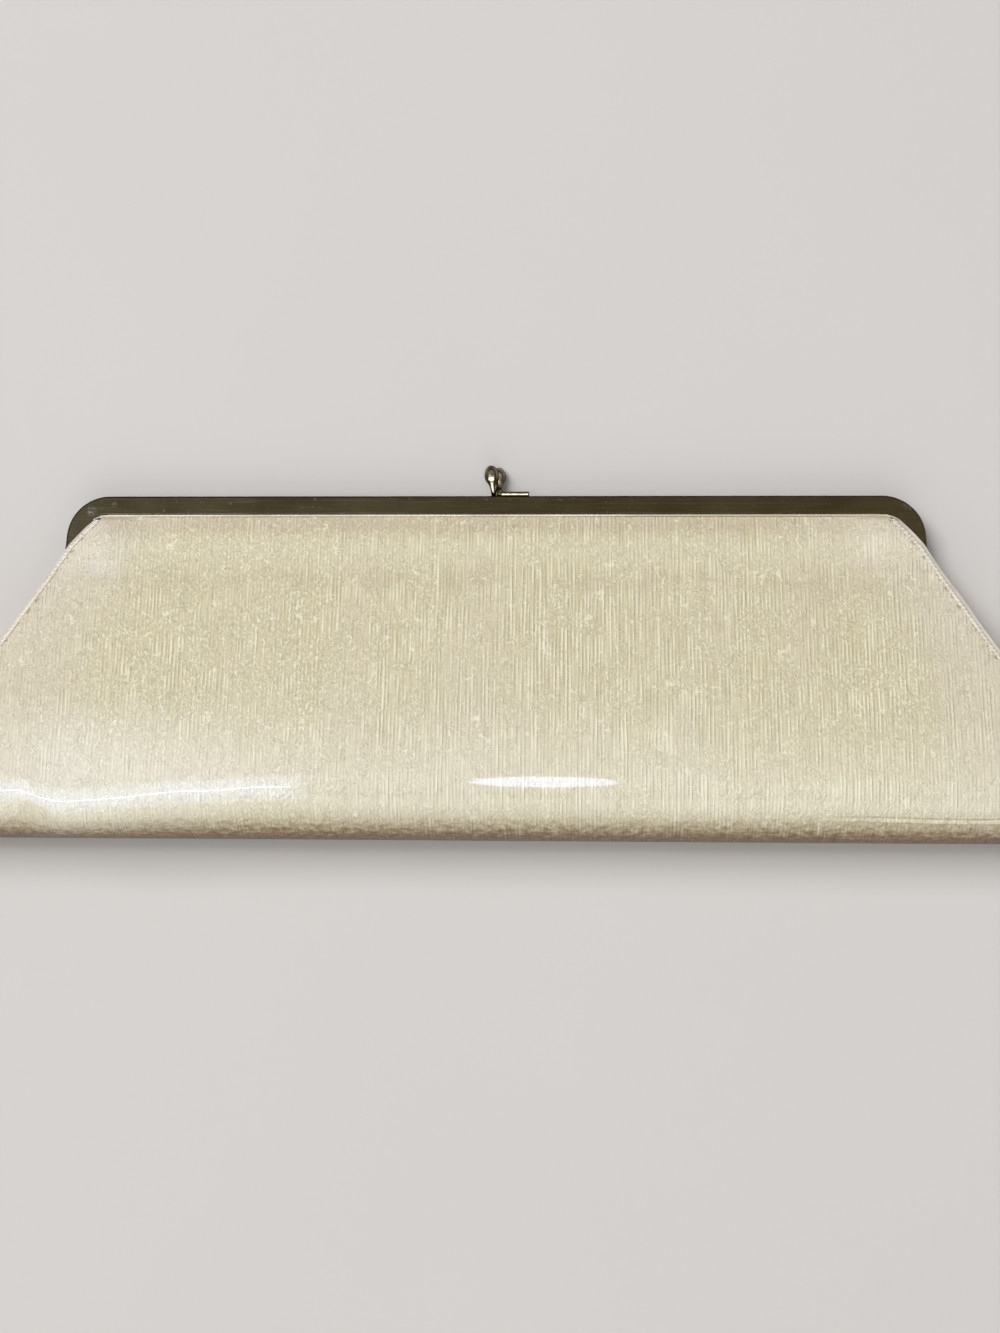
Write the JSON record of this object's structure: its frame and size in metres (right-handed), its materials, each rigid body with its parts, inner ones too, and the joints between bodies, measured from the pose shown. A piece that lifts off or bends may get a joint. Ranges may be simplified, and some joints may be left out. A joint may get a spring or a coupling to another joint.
{
  "type": "evening clutch",
  "caption": "Long trapezoid evening clutch lying on its back, vinyl-faced cream cloth on a hinged brass frame, closed by a kiss-lock clasp",
  "frame": {"origin": "on the floor under the middle of the whole clutch as it lies on its back panel", "axes": "+X along the frame, +Y from the rolled base towards the clasp, +Z from the back panel to the front panel"},
  "size_m": [0.324, 0.105, 0.03],
  "materials": {
    "vinyl_cloth": "cream slub cloth under clear glossy vinyl",
    "welt_cloth": "rolled and overcast",
    "gusset_cloth": "cream cloth",
    "cord_cotton": "matt",
    "aged_brass": "tarnished olive brown",
    "bright_brass": "polished, worn"
  },
  "bodies": {
    "root": {"cover": "vinyl_cloth", "side_welt_left": "welt_cloth", "side_welt_right": "welt_cloth", "gusset_left": "gusset_cloth", "gusset_right": "gusset_cloth", "frame_front": "aged_brass", "frame_back": "aged_brass", "hinge_pin_left": "bright_brass", "hinge_pin_right": "bright_brass", "lip_cord_front": "cord_cotton", "lip_cord_back": "cord_cotton", "clasp_ball": "bright_brass", "clasp_catch": "bright_brass"}
  },
  "joints": []
}
